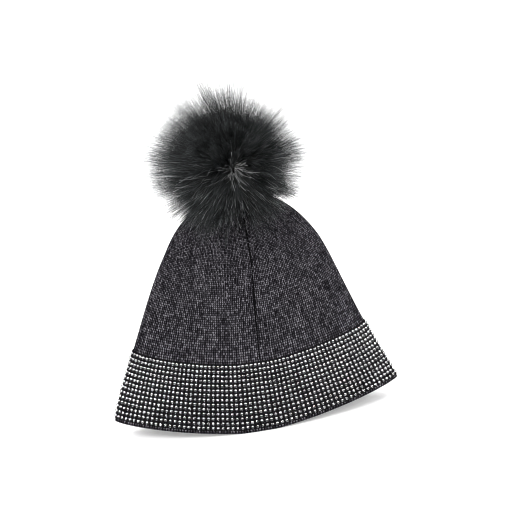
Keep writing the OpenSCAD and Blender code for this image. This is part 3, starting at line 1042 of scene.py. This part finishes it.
def make_filling():
    wadding = cloth_material("wadding", (0.6, 0.6, 0.58), (0.8, 0.8, 0.78), 1500)
    filling = gathered_ball("fibre_filling", FILLING_R, 0, 5 * MM, 9, 0.4 * MM, 0.5 * MM, wadding)
    attach(filling, "pompom", "stuffing")


def dress_snap():
    """Materials for the parts that hold the pompom and are shown as they are."""
    steel = steel_material()
    for part in ("snap_stud", "snap_washer", "snap_socket", "socket_spring", "snap_cap"):
        dress(part, steel)
    dress("base_disc", leather_material("base_leather", (0.012, 0.011, 0.011), (0.03, 0.028, 0.028)))
    dress("crown_patch", cloth_material("interfacing", (0.5, 0.5, 0.48), (0.7, 0.7, 0.68), 5000))


def make_fur():
    """Each layer of hair, from the dense short one next to the hide to the few pale hairs outside."""
    root = (0.0, (0.002, 0.002, 0.002))
    shaft = (0.55, (0.005, 0.0055, 0.0055))
    dark_hair = fur_material("dark_hair", 0.6, root, shaft,
                             (0.85, (0.02, 0.022, 0.0225)), (1.0, (0.065, 0.07, 0.072)))
    # Painted light: the wisps' tips are paler, partly the fur's own paler tips and partly painted light
    # shining through the thin tips at the fringe.
    wisp_hair = fur_material("wisp_hair", 0.6, root, shaft,
                             (0.85, (0.028, 0.03, 0.031)), (1.0, (0.13, 0.137, 0.14)))
    # Painted shade: the hair that hangs over the front of the crown is a darker copy of the dark hair, with
    # dark tips instead of pale ones.
    drape_hair = fur_material("drape_hair", 1.4, root, shaft, (1.0, (0.009, 0.0096, 0.01)))
    pale_hair = fur_material("pale_hair", 0.4, root, (0.6, (0.004, 0.004, 0.004)),
                             (0.75, (0.3, 0.305, 0.31)), (1.0, (0.6, 0.61, 0.62)))
    under = fur_layer(1500, 8, 50, 0.0, long_range=(1.0, 1.0), short_range=(0.75, 0.9))
    main = fur_layer(4000, 11, 51, 0.04, long_range=(0.85, 1.0), short_range=(0.85, 1.08))
    wisps = fur_layer(30000, 1, 55, 1.0, long_range=(0.88, 1.0), short_range=(0.85, 1.0))
    drape = fur_layer(7000, 9, 54, 0.5, long_range=(0.75, 1.0), short_range=(0.9, 1.1), chosen=over_crown)
    strays = stray_hairs(450, 52)
    fuzz = whorl_fuzz(110, 53)
    first = hair_pieces("under_fur", under, 0.2 * MM, 0.1 * MM, 4, dark_hair, 9000)[0]
    hair_pieces("fur", main, 0.1 * MM, 0.035 * MM, 6, dark_hair, 6200)
    hair_pieces("fur_wisps", wisps, 0.045 * MM, 0.018 * MM, 6, wisp_hair, 6200)
    hair_pieces("fur_drape", drape, 0.1 * MM, 0.04 * MM, 6, drape_hair, 6200)
    hair_pieces("stray_hairs", strays, 0.065 * MM, 0.05 * MM, 8, pale_hair, 5000)
    hair_pieces("whorl_fuzz", fuzz, 0.08 * MM, 0.06 * MM, 8, pale_hair, 5000)
    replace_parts(first, "fur_pile")


make_hide_ball()
make_filling()
dress_snap()
make_fur()


# ---------------------------------------------------------------- stage, light and camera

def pale_stage():
    """A pale floor that curves up into a pale wall behind."""
    m = new_material("pale_floor")
    floor_colour = m.mix(m.noise(6.0), (0.86, 0.86, 0.86), (0.88, 0.88, 0.88))
    material = m.finish(floor_colour, 0.9, Emission_Color=(1, 1, 1, 1), Emission_Strength=0.3)
    size, rise, behind, steps = 6.0, 1.2, 1.6, 24
    turn = np.linspace(0, math.pi / 2, steps)
    y = np.concatenate([[-size], behind + rise * np.sin(turn), [behind + rise]])
    z = np.concatenate([[0.0], rise * (1 - np.cos(turn)), [size]])
    rows = np.stack([np.stack([np.full(len(y), x), y, z], -1) for x in (-size, size)], 1)
    return new_piece("studio_floor", rows.reshape(-1, 3), [grid_faces(len(y), 2)], material)


def softbox(name, place, aim, size, power):
    light = bpy.data.lights.new(name, "AREA")
    light.shape = "RECTANGLE"
    light.size = size[0]
    light.size_y = size[1]
    light.energy = power
    holder = bpy.data.objects.new(name, light)
    holder.location = place
    holder.rotation_euler = (Vector(aim) - Vector(place)).to_track_quat("-Z", "Y").to_euler()
    bpy.context.scene.collection.objects.link(holder)
    return holder


def make_world():
    """White to the camera and on dull surfaces. Shiny ones see a room that is bright above."""
    world = bpy.data.worlds.new("studio")
    m = Nodes(world)
    plain = m.tree.nodes["Background"]
    m.put(plain.inputs["Color"], (1, 1, 1, 1))
    m.put(plain.inputs["Strength"], 0.8)

    _, y, z = m.split(m.add("ShaderNodeTexCoord").outputs["Generated"])
    up = m.math("MULTIPLY_ADD", m.math("MAXIMUM", y, 0.0), -0.4, z)
    light_path = m.add("ShaderNodeLightPath")
    glossy = light_path.outputs["Is Glossy Ray"]
    through_glass = light_path.outputs["Is Transmission Ray"]
    strength = m.add("ShaderNodeMapRange")
    m.put(strength.inputs["Value"], through_glass)
    m.put(strength.inputs["To Min"], 11.0)
    m.put(strength.inputs["To Max"], 0.3)
    room = m.add("ShaderNodeBackground")
    m.put(room.inputs["Color"], m.ramp(up, (0.05, (0.008, 0.008, 0.0085)), (0.45, (1, 1, 1))))
    m.put(room.inputs["Strength"], strength.outputs[0])

    mix = m.add("ShaderNodeMixShader")
    m.put(mix.inputs[0], m.math("MAXIMUM", glossy, through_glass))
    m.link(plain.outputs[0], mix.inputs[1])
    m.link(room.outputs[0], mix.inputs[2])
    m.link(mix.outputs[0], m.tree.nodes["World Output"].inputs[0])
    bpy.context.scene.world = world


def make_camera():
    """A distant camera a little above the hat, rolled so that the hat's right side is higher."""
    scene = bpy.context.scene
    elevation = math.radians(18)
    roll = math.radians(9)
    distance = 3.0
    field = 0.441
    target = Vector((0.077 * (cad_high.x - cad_low.x), 0, 0.486 * cad_high.z))
    back = Vector((0, -math.cos(elevation), math.sin(elevation)))
    camera = bpy.data.objects.new("camera", bpy.data.cameras.new("camera"))
    camera.location = target + back * distance
    level = (-back).to_track_quat("-Z", "Y")
    camera.rotation_euler = (level @ Quaternion((0, 0, 1), -roll)).to_euler()
    camera.data.lens = camera.data.sensor_width * distance / field
    camera.data.clip_start = 0.05
    camera.data.clip_end = 30
    scene.collection.objects.link(camera)
    scene.camera = camera


floor = pale_stage()
floor.visible_glossy = False
floor.visible_transmission = False
centre = Vector((0, 0, 0.5 * cad_high.z))
softbox("key_light", (-0.9, -1.1, 1.5), centre, (0.8, 0.8), 20)
softbox("fill_light", (1.2, -1.0, 0.8), centre, (1.4, 1.4), 10).visible_glossy = False
softbox("back_light", (0.2, 1.2, 1.4), centre, (1.6, 1.0), 14).visible_glossy = False
make_world()
make_camera()
bpy.context.scene.view_settings.view_transform = "Standard"
bpy.context.scene.cycles.filter_width = 1.0
